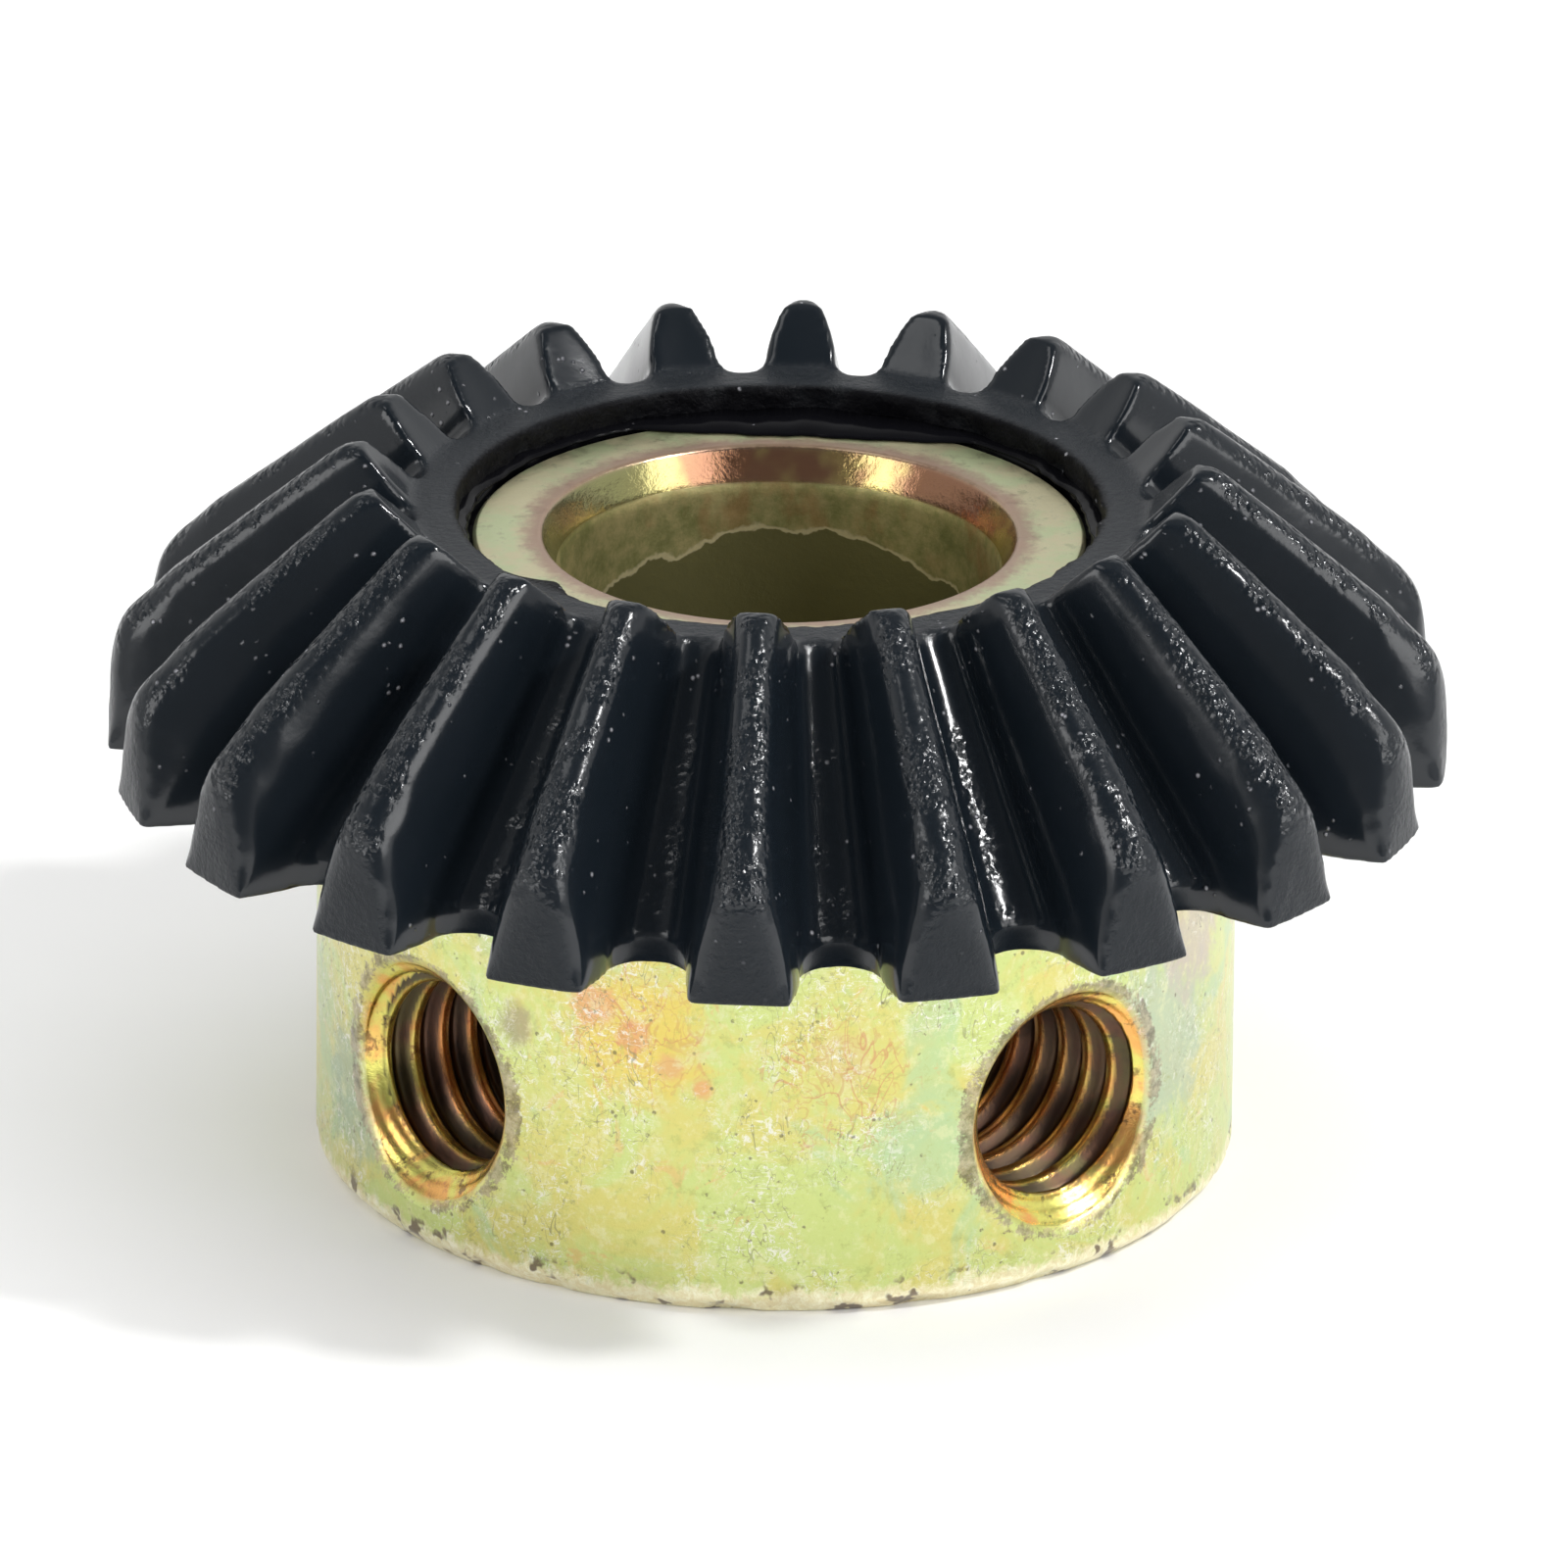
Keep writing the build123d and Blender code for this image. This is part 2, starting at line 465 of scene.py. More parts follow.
def make_hub():
    shell = hub_shell()
    points = wear_hub(np.array(shell.points))
    hub = make_object("plated_hub", points, shell.faces)
    radius = np.hypot(points[:, 0], points[:, 1])
    away, along = hole_place(points)
    on_side = smooth_step(hub_radius - 0.2, hub_radius - 0.05, radius)
    in_hole = (1 - on_side) * (away < countersink_radius + 0.1) * (radius > bore_radius + 0.02)
    depth = (hub_radius - along) / (hub_radius - bore_radius)
    beyond = np.clip(away - countersink_radius, 0, None)
    set_mask(hub.data, "hole_rim", on_side * np.exp(-(beyond / rim_stain_width) ** 2))
    set_mask(hub.data, "in_hole", in_hole)
    # Depth and thread-root masks that carry the painted shade inside the holes.
    set_mask(hub.data, "hole_depth_shade", in_hole * smooth_step(0.10, 0.55, depth))
    cut = smooth_step(0.02, 0.3, (away - thread_radius) / thread_depth)
    set_mask(hub.data, "groove", in_hole * cut * (depth > groove_start))
    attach(hub, "root")
    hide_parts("hub")
    return hub


# ------------------------------------------------------------------ toothed ring

def remeshed(source, name, size):
    """A copy of a CAD node as an even mesh of small squares. Points are in millimetres."""
    mesh = source.data.copy()
    mesh.transform(Matrix.Scale(1 / MM, 4))
    copy = bpy.data.objects.new(name, mesh)
    bpy.context.scene.collection.objects.link(copy)
    modifier = copy.modifiers.new("even_mesh", "REMESH")
    modifier.mode = "VOXEL"
    modifier.voxel_size = size
    modifier.adaptivity = 0
    evaluated = copy.evaluated_get(bpy.context.evaluated_depsgraph_get())
    done = bpy.data.meshes.new_from_object(evaluated)
    bpy.data.objects.remove(copy)
    done.transform(Matrix.Scale(MM, 4))
    piece = bpy.data.objects.new(name, done)
    bpy.context.scene.collection.objects.link(piece)
    return piece


def relax(points, edges, rounds, weight):
    """Moves each point towards the mean of its neighbours, by its weight, a number of times."""
    count = len(points)
    a, b = edges[:, 0], edges[:, 1]
    degree = np.bincount(a, minlength=count) + np.bincount(b, minlength=count)
    for _ in range(rounds):
        mean = np.empty_like(points)
        for axis in range(3):
            total = np.bincount(a, points[b, axis], count) + np.bincount(b, points[a, axis], count)
            mean[:, axis] = total / degree
        points = points + (mean - points) * weight[:, None]
    return points


def tooth_offset(points):
    """Angle from each point to the middle of its tooth, as a share of the pitch from 0 to 0.5."""
    turn = np.arctan2(points[:, 1], points[:, 0]) + pi / 2 - tooth_clocking
    share = turn / (2 * pi) * tooth_count
    return np.abs(share - np.round(share))


def uneven_collar(points):
    """The ragged inner edge of the moulding round the hub's end, with one thin flap of flash."""
    radius = np.hypot(points[:, 0], points[:, 1])
    turn = np.degrees(np.arctan2(points[:, 1], points[:, 0]))
    near = smooth_step(8.15, 8.5, radius) * (1 - smooth_step(8.9, 9.3, radius))
    near = near * smooth_step(ledge_height - 0.2, ledge_height, points[:, 2])
    ragged = np.clip(noise_at(points, 1.1, 6) + 0.5 * noise_at(points, 0.45, 7), -0.6, 1)
    flap = flap_reach * np.exp(-((turn - flap_turn) / flap_spread) ** 2)
    flap = flap * smooth_step(flap_height, flap_height + 0.2, points[:, 2])
    inward = (ragged * ragged_depth * 0.9 + ragged_mean + flap) * near
    moved = points.copy()
    scale = 1 - inward / np.maximum(radius, 1)
    moved[:, 0] *= scale
    moved[:, 1] *= scale
    return moved


def flash_section(turn, ragged):
    """Corners of the flash at one turn. It stands on the step, and creeps over the hub's end at the back."""
    closed = spigot_lip_radius + flash_gap
    straight = flash_straight / max(cos(turn - flash_back), 0.1)
    edge = min(closed, straight) + flash_ragged * ragged
    foot = spigot_lip_radius + flash_foot_gap
    wall = step_radius + flash_sunk
    top = hub_height + flash_thickness + 0.05 * ragged
    return [
        (wall, ledge_height - 0.05),
        (foot, ledge_height - 0.05),
        (foot, hub_height),
        (edge + 0.03, hub_height + 0.02),
        (edge, hub_height + 0.05),
        (edge + 0.08, hub_height + 0.10),
        ((edge + wall) / 2, top),
        (wall, top + 0.03),
    ]


def make_flash():
    """Thin flash of moulding that closes round the end of the hub."""
    shell = Shell()
    turns = [2 * pi * i / flash_columns for i in range(flash_columns)]
    circle = np.array([(spigot_neck_radius * cos(t), spigot_neck_radius * sin(t), 0) for t in turns])
    ragged = noise_at(circle, 1.3, 11) + 0.5 * noise_at(circle, 0.45, 12)
    sections = [flash_section(t, r) for t, r in zip(turns, ragged)]
    rows = []
    for corners in zip(*sections):
        rows.append(shell.row([(r * cos(t), r * sin(t), z) for t, (r, z) in zip(turns, corners)]))
    for lower, upper in zip(rows, rows[1:] + rows[:1]):
        shell.band(lower, upper)
    flash = make_object("moulding_flash", shell.points, shell.faces)
    # The flash takes the step's painted shade, darker and less shiny.
    set_mask(flash.data, "step", np.ones(len(shell.points)))
    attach(flash, "root")
    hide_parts("toothed_ring")
    return flash


def make_ring():
    ring = remeshed(frame["nodes"]["toothed_ring"], "moulded_ring", voxel)
    mesh = ring.data
    edges = np.empty(len(mesh.edges) * 2, np.int32)
    mesh.edges.foreach_get("vertices", edges)
    edges = edges.reshape(-1, 2)
    points = mesh_points(mesh)
    points = relax(points, edges, ring_rounds, np.full(len(points), relax_share))
    radius = np.hypot(points[:, 0], points[:, 1])
    cone = np.degrees(np.arctan2(radius, apex_height - points[:, 2]))
    above_foot = smooth_step(shoulder_height + 0.1, shoulder_height + 0.9, points[:, 2])
    heel = smooth_step(heel_soft_radius - 0.6, heel_soft_radius + 0.3, radius) * above_foot
    crest = smooth_step(crest_soft_cone - 0.8, crest_soft_cone + 0.4, cone) * above_foot
    toe = 1 - smooth_step(toe_soft_start, toe_soft_end, radius)
    points = relax(points, edges, crest_rounds, relax_share * crest * (1 - toe_share + toe_share * toe))
    points = relax(points, edges, heel_rounds, relax_share * heel)
    points = uneven_collar(points)
    set_mesh_points(mesh, points)
    wave = noise_at(points, wave_size, 4) * wave_depth * above_foot
    dents = noise_at(points, dent_size, 9) * dent_depth * heel
    points = points + mesh_normals(mesh) * (wave + dents)[:, None]
    set_mesh_points(mesh, points)
    mesh.shade_smooth()
    normals = mesh_normals(mesh)
    radius = np.hypot(points[:, 0], points[:, 1])
    outward = (normals[:, 0] * points[:, 0] + normals[:, 1] * points[:, 1]) / radius
    sideways = np.abs(normals[:, 1] * points[:, 0] - normals[:, 0] * points[:, 1]) / radius
    out_and_down = outward * sin(pitch_angle) - normals[:, 2] * cos(pitch_angle)
    on_crest = crest * (1 - smooth_step(0.68, 0.92, sideways))
    on_root = 0.4 * (1 - crest) * (1 - smooth_step(0.20, 0.50, sideways))
    on_teeth = smooth_step(11.0, 12.2, radius)
    set_mask(mesh, "pebbled", np.maximum(on_crest, on_root) * on_teeth)
    facing_out = smooth_step(0.45, 0.8, out_and_down) * on_teeth
    set_mask(mesh, "heel", facing_out)
    set_mask(mesh, "root_end", facing_out * smooth_step(0.30, 0.38, tooth_offset(points)))
    # The step's mask carries the painted shade of the recess between the collar and the hub.
    set_mask(mesh, "step", 1 - smooth_step(8.75, 9.0, radius))
    set_mask(mesh, "collar", 1 - smooth_step(collar_radius - 0.2, collar_radius + 0.3, radius))
    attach(ring, "root")
    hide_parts("toothed_ring")
    return ring


# ------------------------------------------------------------------ materials

class Nodes:
    """Short calls for building the nodes of one material or world."""

    def __init__(self, owner, shader_type):
        owner.use_nodes = True
        self.owner = owner
        self.tree = owner.node_tree
        self.shader = next(n for n in self.tree.nodes if n.type == shader_type)

    def add(self, kind, **settings):
        node = self.tree.nodes.new(kind)
        for key, value in settings.items():
            setattr(node, key, value)
        return node

    def plug(self, value, socket):
        """Links an output to an input, or sets the input's value."""
        if isinstance(value, bpy.types.NodeSocket):
            self.tree.links.new(value, socket)
        elif isinstance(value, tuple) and len(value) == 3 and socket.type == "RGBA":
            socket.default_value = (*value, 1)
        else:
            socket.default_value = value

    def place(self):
        """Position on the object, in millimetres."""
        coordinates = self.add("ShaderNodeTexCoord").outputs["Object"]
        return self.vector("SCALE", coordinates, scale=1 / MM)

    def vector(self, operation, a, b=None, scale=None):
        node = self.add("ShaderNodeVectorMath", operation=operation)
        self.plug(a, node.inputs[0])
        if b is not None:
            self.plug(b, node.inputs[1])
        if scale is not None:
            self.plug(scale, node.inputs["Scale"])
        return node.outputs["Value" if operation in ("LENGTH", "DOT_PRODUCT") else "Vector"]

    def parts(self, vector):
        node = self.add("ShaderNodeSeparateXYZ")
        self.plug(vector, node.inputs[0])
        return list(node.outputs)

    def maths(self, operation, a, b=0.0):
        node = self.add("ShaderNodeMath", operation=operation)
        self.plug(a, node.inputs[0])
        self.plug(b, node.inputs[1])
        return node.outputs[0]

    def step(self, value, low, high):
        """0 below low, 1 above high, and smooth between. Low may be above high."""
        node = self.add("ShaderNodeMapRange", interpolation_type="SMOOTHSTEP")
        for key, number in (("Value", value), ("From Min", low), ("From Max", high)):
            self.plug(number, node.inputs[key])
        return node.outputs[0]

    def noise(self, place, size, detail=3.0, rough=0.55, stretch=None, warp=0.0):
        """Noise of about 0 to 1 whose features are the given size in millimetres."""
        if stretch is not None:
            place = self.vector("MULTIPLY", place, stretch)
        node = self.add("ShaderNodeTexNoise")
        self.plug(place, node.inputs["Vector"])
        self.plug(1 / size, node.inputs["Scale"])
        self.plug(detail, node.inputs["Detail"])
        self.plug(rough, node.inputs["Roughness"])
        self.plug(warp, node.inputs["Distortion"])
        return node.outputs["Fac"]

    def cells(self, place, size):
        """Distance to the middle of the nearest of many scattered cells, in cell sizes."""
        node = self.add("ShaderNodeTexVoronoi")
        self.plug(place, node.inputs["Vector"])
        self.plug(1 / size, node.inputs["Scale"])
        return node.outputs["Distance"]

    def mask(self, name):
        return self.add("ShaderNodeAttribute", attribute_name=name).outputs["Fac"]

    def mix(self, share, a, b):
        node = self.add("ShaderNodeMix", data_type="RGBA")
        self.plug(share, node.inputs[0])
        self.plug(a, node.inputs[6])
        self.plug(b, node.inputs[7])
        return node.outputs[2]

    def blend(self, share, a, b):
        """Mixes two numbers."""
        node = self.add("ShaderNodeMix", data_type="FLOAT")
        self.plug(share, node.inputs[0])
        self.plug(a, node.inputs[2])
        self.plug(b, node.inputs[3])
        return node.outputs[0]

    def bump(self, height, depth, strength=1.0, normal=None):
        """Height of 0 to 1 raised by a depth in millimetres."""
        node = self.add("ShaderNodeBump")
        self.plug(height, node.inputs["Height"])
        self.plug(depth * MM, node.inputs["Distance"])
        self.plug(strength, node.inputs["Strength"])
        if normal is not None:
            self.plug(normal, node.inputs["Normal"])
        return node.outputs["Normal"]

    def finish(self, **inputs):
        for key, value in inputs.items():
            self.plug(value, self.shader.inputs[key.replace("_", " ")])
        return self.owner


def material_nodes(name):
    return Nodes(bpy.data.materials.new(name), "BSDF_PRINCIPLED")


def colour(red, green, blue):
    """A colour given as it looks on screen, 0 to 255."""
    shares = [channel / 255 for channel in (red, green, blue)]
    return tuple(s / 12.92 if s < 0.0405 else ((s + 0.055) / 1.055) ** 2.4 for s in shares)


def patch(m, place, turn, height, size, ragged):
    """A mark on the hub's side at a turn and height: 1 at its middle and 0 outside, with a ragged edge."""
    a = radians(turn)
    middle = (hub_radius * cos(a), hub_radius * sin(a), height)
    away = m.vector("LENGTH", m.vector("SUBTRACT", place, middle))
    away = m.maths("ADD", away, m.maths("MULTIPLY", m.maths("SUBTRACT", ragged, 0.5), size * 1.8))
    return m.step(away, size, size * 0.45)


def veins(m, place, size, width, stretch=None, warp=0.0, where=None):
    """Thin wandering lines: 1 on the lines and 0 between them."""
    level = m.noise(place, size, 2.0, 0.5, stretch, warp)
    lines = m.step(m.maths("ABSOLUTE", m.maths("SUBTRACT", level, 0.5)), width, width * 0.3)
    return lines if where is None else m.maths("MULTIPLY", lines, where)


def tint(m, share, amount, film, shade):
    return m.mix(m.maths("MULTIPLY", share, amount), film, shade)


def stains_and_edge_sheen():
    """Turn in degrees, height, size and colour of each larger stain on the hub's side; the last three are
    painted sheen near its edges.
    """
    return [
        (-102, 8.2, 2.6, colour(228, 202, 96)),
        (-108, 8.7, 0.8, colour(226, 164, 116)),
        (-103, 7.9, 0.6, colour(224, 160, 112)),
        (-98, 7.2, 0.5, colour(222, 168, 118)),
        (-94, 6.6, 0.4, colour(226, 160, 108)),
        (-76, 7.4, 0.9, colour(214, 196, 128)),
        (-119, 7.6, 0.8, colour(160, 146, 120)),
        (-66, 4.6, 2.0, colour(180, 208, 160)),
        # The last three are painted reflection, not stains: the greyer sheen of the film at grazing angles
        # near the side's left and right edges, as seen from the front.
        (-150, 3.4, 2.4, colour(162, 182, 156)),
        (-28, 6.0, 3.4, colour(176, 192, 172)),
        (-20, 8.5, 2.2, colour(198, 178, 170)),
    ]


def plated_side(m, place, height, fine, ragged):
    """Colour of the film on the hub's side: blotches of colour, scuffs, specks, stains round the holes,
    painted sheen near its edges, a painted reflection of the floor round the foot, and a browner band just
    under the ring.
    """
    cloud = m.noise(place, 3.4, 4.0, 0.65, warp=0.8)
    film = m.mix(m.step(cloud, 0.40, 0.60), colour(216, 208, 120), colour(204, 216, 134))
    green = m.noise(m.vector("ADD", place, (31.0, 7.0, 3.0)), 3.8, 4.0, 0.6, warp=1.0)
    film = tint(m, m.step(green, 0.54, 0.66), 0.7, film, colour(178, 208, 158))
    streak = m.noise(m.vector("ADD", place, (5.0, 53.0, 11.0)), 2.2, 6.0, 0.7, warp=1.8)
    film = tint(m, m.step(streak, 0.60, 0.68), 0.5, film, colour(226, 178, 118))
    for turn, level, size, shade in stains_and_edge_sheen():
        film = tint(m, patch(m, place, turn, level, size, streak), 0.75, film, shade)
    film = tint(m, m.step(fine, 0.50, 0.66), 0.45, film, colour(234, 232, 184))
    film = tint(m, m.step(fine, 0.46, 0.32), 0.4, film, colour(164, 172, 88))

    left_patch = patch(m, place, -102, 8.0, 2.6, streak)
    right_patch = patch(m, place, -77, 6.9, 2.6, streak)
    iridescent = m.maths("ADD", left_patch, right_patch)
    broad = veins(m, place, 1.3, 0.016, (1.0, 1.0, 0.6), 1.5, iridescent)
    film = tint(m, broad, 0.55, film, colour(206, 130, 100))
    narrow = veins(m, place, 0.6, 0.03, (1.0, 1.0, 0.8), 1.0, iridescent)
    film = tint(m, narrow, 0.4, film, colour(200, 146, 92))

    worn = m.step(m.noise(place, 2.6, 3.0, 0.6), 0.40, 0.60)
    scuff = m.noise(m.vector("ADD", place, (3.0, 17.0, 29.0)), 0.34, 6.0, 0.85, warp=1.0)
    film = tint(m, m.maths("MULTIPLY", m.step(scuff, 0.54, 0.60), worn), 0.9, film, colour(238, 236, 228))
    film = tint(m, m.maths("MULTIPLY", m.step(scuff, 0.42, 0.36), worn), 0.6, film, colour(134, 128, 92))
    film = tint(m, veins(m, place, 0.9, 0.010, (1.0, 1.0, 5.0), 0.3, worn), 0.55, film, colour(236, 236, 222))
    film = tint(m, veins(m, place, 1.4, 0.007, (2.5, 2.5, 1.0), 0.6, worn), 0.6, film, colour(128, 124, 92))
    speck = m.maths("MULTIPLY", m.step(m.cells(place, 0.36), 0.22, 0.12), m.step(ragged, 0.52, 0.60))
    film = tint(m, speck, 0.75, film, colour(104, 96, 68))

    crumb = m.noise(m.vector("ADD", place, (1.0, 41.0, 8.0)), 0.16, 4.0, 0.8)
    rim = m.maths("ADD", m.mask("hole_rim"), m.maths("MULTIPLY", m.maths("SUBTRACT", crumb, 0.5), 1.9))
    rim = m.maths("ADD", rim, m.maths("MULTIPLY", m.maths("SUBTRACT", streak, 0.5), 3.0))
    rim = m.maths("MULTIPLY", m.step(rim, 0.65, 0.95), m.step(m.mask("hole_rim"), 0.02, 0.2))
    stain = m.mix(m.step(fine, 0.38, 0.62), colour(92, 72, 58), colour(182, 166, 140))
    film = tint(m, rim, 0.75, film, stain)

    # Painted reflection: the lowest part of the side and the foot's chamfer are made pale, standing in for
    # the bright floor that the chamfer mirrors.
    low = m.maths("ADD", height, m.maths("MULTIPLY", m.maths("SUBTRACT", ragged, 0.5), 1.2))
    foot = m.step(low, 0.95, 0.5)
    pale = m.mix(m.step(scuff, 0.4, 0.6), colour(236, 222, 184), colour(255, 250, 226))
    film = tint(m, foot, 0.85, film, pale)
    spot = m.step(m.noise(place, 1.1, 3.0, 0.6), 0.57, 0.62)
    film = tint(m, m.maths("MULTIPLY", spot, m.step(low, 1.2, 0.7)), 0.85, film, colour(98, 76, 60))
    high = m.step(m.maths("ADD", height, m.maths("MULTIPLY", ragged, 0.8)), 11.2, 11.9)
    return tint(m, high, 0.45, film, colour(184, 160, 128))


def plated_hole(m, place, film, fine):
    """Gold at the mouth of a tapped hole and brown in its depths and thread roots: partly the film's own
    brown, partly painted shade where light is trapped in the hole.
    """
    hue = m.noise(place, 1.5, 4.0, 0.6, warp=0.6)
    gold = m.mix(m.step(hue, 0.40, 0.60), colour(255, 190, 104), colour(242, 236, 122))
    gold = tint(m, m.step(fine, 0.56, 0.7), 0.5, gold, colour(206, 128, 100))
    burnt = m.step(m.noise(m.vector("ADD", place, (4.0, 9.0, 6.0)), 0.8, 5.0, 0.7), 0.55, 0.63)
    gold = tint(m, burnt, 0.7, gold, colour(96, 60, 44))
    # Darker and browner with depth and in the thread roots: painted shade, over the film's own brown.
    gold = tint(m, m.mask("hole_depth_shade"), 0.75, gold, colour(196, 112, 62))
    brown = m.mix(m.step(hue, 0.4, 0.6), colour(74, 42, 34), colour(58, 46, 28))
    brown = tint(m, m.mask("hole_depth_shade"), 0.8, brown, colour(40, 26, 20))
    gold = tint(m, m.mask("groove"), 0.95, gold, brown)
    return m.mix(m.mask("in_hole"), film, gold)


def plated_bore(m, place, across, back, height, radius, film, fine, ragged):
    """The pale top face with its brown inner edge, the bright lead-in with its painted reflection tint, and
    the bore's wall, darker below a ragged line.
    """
    cloud = m.step(m.noise(place, 2.0, 4.0, 0.6), 0.42, 0.6)
    khaki = m.mix(cloud, colour(226, 218, 176), colour(212, 222, 172))
    khaki = tint(m, m.step(fine, 0.47, 0.34), 0.5, khaki, colour(166, 168, 120))
    on_top = m.step(height, hub_height - 0.3, hub_height - 0.15)
    film = m.mix(on_top, film, khaki)
    edge = m.maths("ADD", radius, m.maths("MULTIPLY", m.maths("SUBTRACT", ragged, 0.5), 0.9))
    brown = m.maths("MULTIPLY", m.step(edge, 7.25, 6.6), m.step(height, hub_height - 1.2, hub_height - 0.6))
    film = tint(m, brown, 0.8, film, m.mix(fine, colour(150, 96, 84), colour(196, 160, 140)))
    lead = m.maths("MULTIPLY", m.step(radius, 6.48, 6.38), m.step(height, hub_height - 1.1, hub_height - 0.9))
    # Partly the film's own tone, partly painted reflection: the browner tone stands in for the dim room the
    # lead-in mirrors, and the green on the left side of the lead-in is painted reflection too.
    lead_film_and_reflection = m.mix(m.step(m.noise(place, 2.6, 3.0), 0.42, 0.58), colour(190, 172, 108), colour(142, 102, 78))
    lead_film_and_reflection = tint(m, m.step(across, -2.5, -5.0), 0.8, lead_film_and_reflection, colour(136, 146, 100))
    film = tint(m, lead, 0.9, film, lead_film_and_reflection)

    below_lead = m.step(height, hub_height - 0.85, hub_height - 1.0)
    in_bore = m.maths("MULTIPLY", m.step(radius, 6.2, 6.06), below_lead)
    mottle = m.step(m.noise(place, 0.9, 5.0, 0.75), 0.3, 0.7)
    olive = m.mix(mottle, colour(206, 194, 140), colour(150, 152, 98))
    rusty = m.step(m.noise(place, 1.8, 4.0, 0.6, (1.0, 1.0, 0.6)), 0.5, 0.65)
    olive = tint(m, m.maths("MULTIPLY", rusty, m.step(height, 14.5, 16.2)), 0.5, olive, colour(190, 140, 96))
    # Darker olive below a ragged line on the bore's wall that rises towards the back, with a pale fringe
    # along the line.
    dome = m.maths("SUBTRACT", height, m.maths("MULTIPLY", back, 0.375))
    wander = m.maths("SUBTRACT", m.noise(place, 1.6, 4.0, 0.55), 0.5)
    line = m.maths("ADD", dome, m.maths("MULTIPLY", wander, 1.5))
    below_line = m.step(line, 13.25, 13.2)
    fringe = m.maths("MULTIPLY", m.step(line, 13.2, 13.25), m.step(line, 13.4, 13.3))
    olive = m.mix(below_line, olive, colour(134, 130, 88))
    olive = tint(m, fringe, 0.8, olive, colour(244, 232, 190))
    return m.mix(in_bore, film, olive), lead, in_bore


def plating():
    """Yellow zinc chromate on turned steel."""
    m = material_nodes("yellow_zinc_plating")
    place = m.place()
    radius = m.vector("LENGTH", m.vector("MULTIPLY", place, (1.0, 1.0, 0.0)))
    across, back, height = m.parts(place)
    fine = m.noise(place, 0.55, 5.0, 0.75)
    ragged = m.noise(m.vector("ADD", place, (13.0, 5.0, 2.0)), 0.4, 4.0, 0.7)
    film = plated_side(m, place, height, fine, ragged)
    film = plated_hole(m, place, film, fine)
    film, lead, in_bore = plated_bore(m, place, across, back, height, radius, film, fine, ragged)
    normal = m.bump(m.maths("ADD", fine, m.maths("MULTIPLY", ragged, 0.6)), 0.03, 0.6)
    rough = m.blend(m.step(fine, 0.4, 0.7), 0.33, 0.46)
    rough = m.blend(m.mask("in_hole"), rough, 0.24)
    rough = m.blend(lead, rough, 0.1)
    rough = m.blend(in_bore, rough, 0.5)
    coat = m.blend(m.maths("MAXIMUM", lead, in_bore), 0.6, 0.0)
    return m.finish(
        Base_Color=film,
        Metallic=0.9,
        Roughness=rough,
        Normal=normal,
        Coat_Weight=coat,
        Coat_Roughness=0.35,
    )


def moulding():
    """Near-black glass-filled plastic, glossy with a pebbled skin on its crests."""
    m = material_nodes("black_moulding")
    place = m.place()
    pebbled = m.mask("pebbled")
    heel = m.mask("heel")
    collar = m.mask("collar")
    pebbles = m.step(m.cells(place, 0.24), 0.8, 0.0)
    grit = m.noise(m.vector("ADD", place, (7.0, 3.0, 5.0)), 0.2, 2.0, 0.6)
    uneven = m.step(m.noise(place, 1.1, 3.0), 0.34, 0.60)
    pebble_depth = m.maths("MULTIPLY", m.maths("MULTIPLY", pebbled, uneven), m.maths("SUBTRACT", 1.0, heel))
    skin = m.noise(place, 0.7, 3.0, 0.6)
    peel = m.noise(m.vector("ADD", place, (2.0, 6.0, 1.0)), 0.24, 4.0, 0.7)
    # Pale specks: partly dust, partly painted glints of light on small pits.
    dot = m.step(m.cells(place, 0.42), 0.2, 0.08)
    few = m.step(m.noise(m.vector("ADD", place, (9.0, 2.0, 4.0)), 1.2, 3.0), 0.57, 0.63)
    dust_and_glints = m.maths("MULTIPLY", m.maths("MULTIPLY", dot, few), m.maths("SUBTRACT", 1.0, heel))
    normal = m.bump(skin, 0.05, m.blend(pebbled, 0.12, 0.4))
    normal = m.bump(pebbles, 0.055, pebble_depth, normal)
    normal = m.bump(grit, 0.05, pebble_depth, normal)
    normal = m.bump(dust_and_glints, 0.08, 1.0, normal)
    normal = m.bump(peel, 0.10, m.maths("MAXIMUM", heel, collar), normal)
    rough = m.blend(heel, m.blend(pebbled, 0.16, 0.22), 0.40)
    rough = m.blend(collar, rough, 0.42)
    root_end = m.mask("root_end")
    rough = m.blend(root_end, rough, 0.7)
    base = m.mix(m.noise(place, 2.0, 3.0), (0.005, 0.008, 0.011), (0.008, 0.011, 0.015))
    # Painted shade: the step between the collar and the hub, and the flash on it, are made darker and less
    # shiny, standing in for the shadow in that recess.
    step = m.mask("step")
    base = m.mix(step, base, (0.003, 0.003, 0.004))
    base = tint(m, dust_and_glints, 0.45, base, (0.6, 0.6, 0.65))
    shine = m.blend(collar, m.blend(heel, 0.5, 0.28), 0.62)
    shine = m.blend(root_end, shine, 0.03)
    shine = m.blend(step, shine, 0.08)
    return m.finish(Base_Color=base, Roughness=rough, Specular_IOR_Level=shine, Normal=normal)


def floor_material():
    m = material_nodes("pale_floor")
    return m.finish(Base_Color=(0.92, 0.92, 0.92), Roughness=0.9)


# ------------------------------------------------------------------ studio

def make_floor():
    size = 3.0
    corners = [(-size, -size, 0), (size, -size, 0), (size, size, 0), (-size, size, 0)]
    mesh = bpy.data.meshes.new("floor")
    mesh.from_pydata(corners, [], [(0, 1, 2, 3)])
    floor = bpy.data.objects.new("floor", mesh)
    bpy.context.scene.collection.objects.link(floor)
    mesh.materials.append(floor_material())


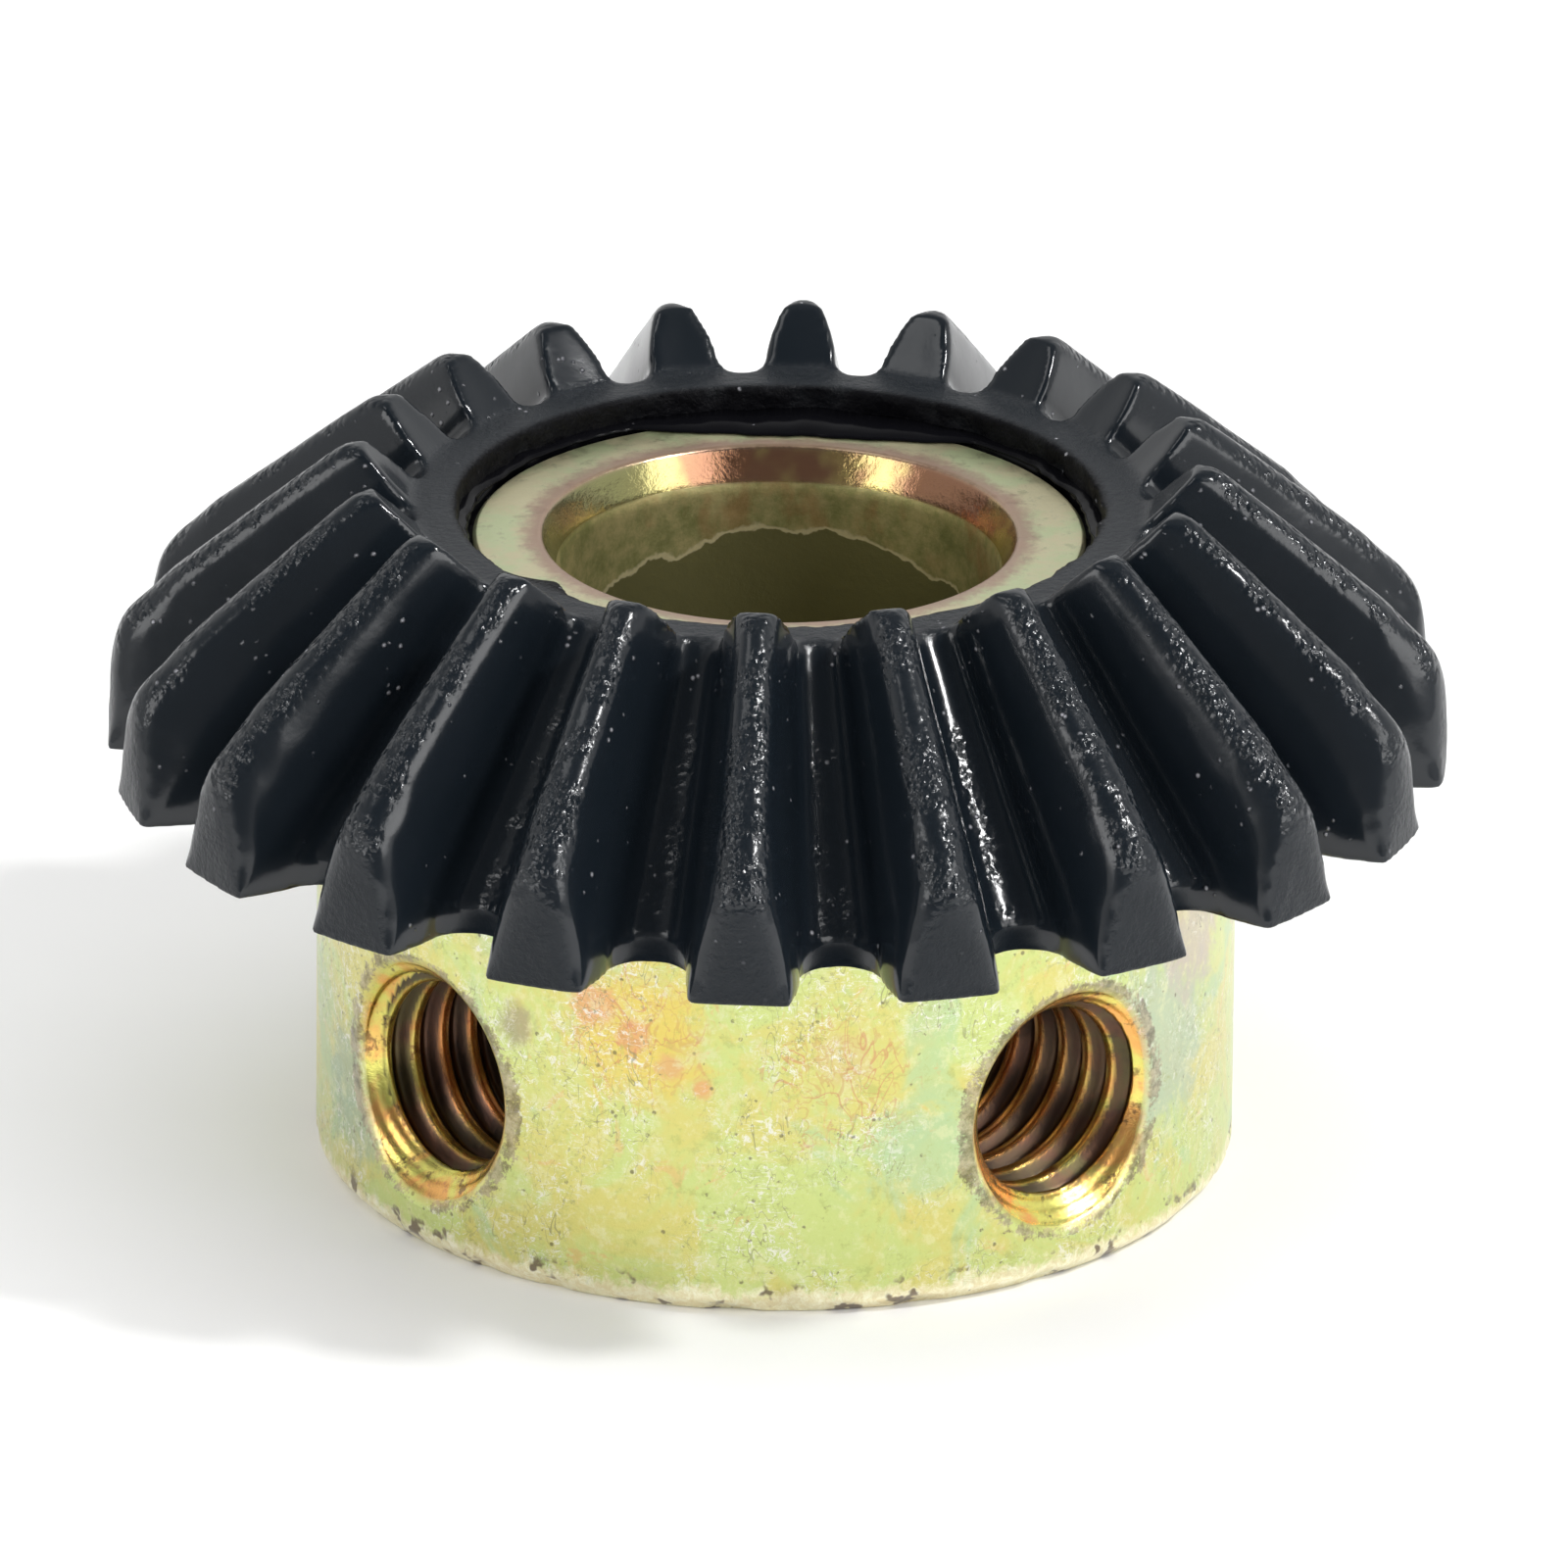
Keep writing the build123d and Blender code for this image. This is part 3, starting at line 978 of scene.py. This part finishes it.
def direction(azimuth, elevation):
    """Azimuth 0 is the camera's side of the gear, and 90 is to the camera's right."""
    a, e = radians(azimuth + camera_azimuth), radians(elevation)
    return Vector((sin(a) * cos(e), -cos(a) * cos(e), sin(e)))


light_aim_height = 12 * MM


def add_light(name, azimuth, elevation, distance, width, height, power, mirrored=True):
    """An area light that faces the gear, and shows in its gloss if it is mirrored."""
    away = direction(azimuth, elevation)
    data = bpy.data.lights.new(name, "AREA")
    data.shape = "RECTANGLE"
    data.size = width
    data.size_y = height
    data.energy = power
    light = bpy.data.objects.new(name, data)
    light.location = away * distance + Vector((0, 0, light_aim_height))
    light.rotation_mode = "QUATERNION"
    light.rotation_quaternion = away.to_track_quat("Z", "Y")
    light.visible_glossy = mirrored
    bpy.context.scene.collection.objects.link(light)


def make_world():
    """White light from all round the horizon, dimmer overhead and darkest behind the camera."""
    world = bpy.data.worlds.new("studio")
    m = Nodes(world, "BACKGROUND")
    ray = m.add("ShaderNodeTexCoord").outputs["Generated"]
    level = m.step(m.parts(ray)[2], 0.85, 0.4)
    room = m.step(m.vector("DOT_PRODUCT", ray, tuple(direction(0, 35))), 0.55, 0.92)
    strength = m.maths("MULTIPLY", m.blend(level, 0.22, 0.75), m.blend(room, 1.0, 0.25))
    bpy.context.scene.world = m.finish(Color=(1.0, 1.0, 1.0), Strength=strength)


def make_lights():
    add_light("key", 72, 50, 0.5, 0.05, 0.05, 1.2)
    add_light("right_box", 51, 27, 0.6, 0.36, 0.26, 1.0)
    add_light("left_box", -55, 27, 0.6, 0.22, 0.26, 0.55)
    add_light("top_left_strip", -80, 66, 0.6, 0.30, 0.14, 0.25)
    add_light("wash", 180, 70, 1.2, 1.6, 1.6, 8.6, mirrored=False)
    add_light("front_wash", 0, 35, 0.9, 1.2, 0.6, 3.0, mirrored=False)


# camera, as fitted to the view: 22 degrees above the horizon through a long lens
camera_azimuth = 4.974
camera_elevation = 22.22
camera_distance = 0.8746
camera_lens = 738.5
camera_sensor = 36.0
camera_roll = 0.529
aim_right = 0.19 * MM
aim_height = 10.439 * MM


def make_camera():
    a, e, r = radians(camera_azimuth), radians(camera_elevation), radians(camera_roll)
    back = Vector((sin(a) * cos(e), -cos(a) * cos(e), sin(e)))
    right = Vector((cos(a), sin(a), 0))
    up = back.cross(right)
    turned_right = right * cos(r) + up * sin(r)
    turned_up = up * cos(r) - right * sin(r)
    place = right * aim_right + Vector((0, 0, aim_height)) + back * camera_distance
    data = bpy.data.cameras.new("camera")
    data.sensor_width = camera_sensor
    data.lens = camera_lens
    data.clip_start = 0.01
    data.clip_end = 10
    camera = bpy.data.objects.new("camera", data)
    axes = Matrix((turned_right, turned_up, back)).transposed().to_4x4()
    camera.matrix_world = Matrix.Translation(place) @ axes
    bpy.context.scene.collection.objects.link(camera)
    bpy.context.scene.camera = camera


hub = make_hub()
hub.data.materials.append(plating())
ring = make_ring()
ring.data.materials.clear()
ring.data.materials.append(moulding())
flash = make_flash()
flash.data.materials.append(ring.data.materials[0])
make_floor()
make_world()
make_lights()
make_camera()
bpy.context.scene.view_settings.view_transform = "Standard"
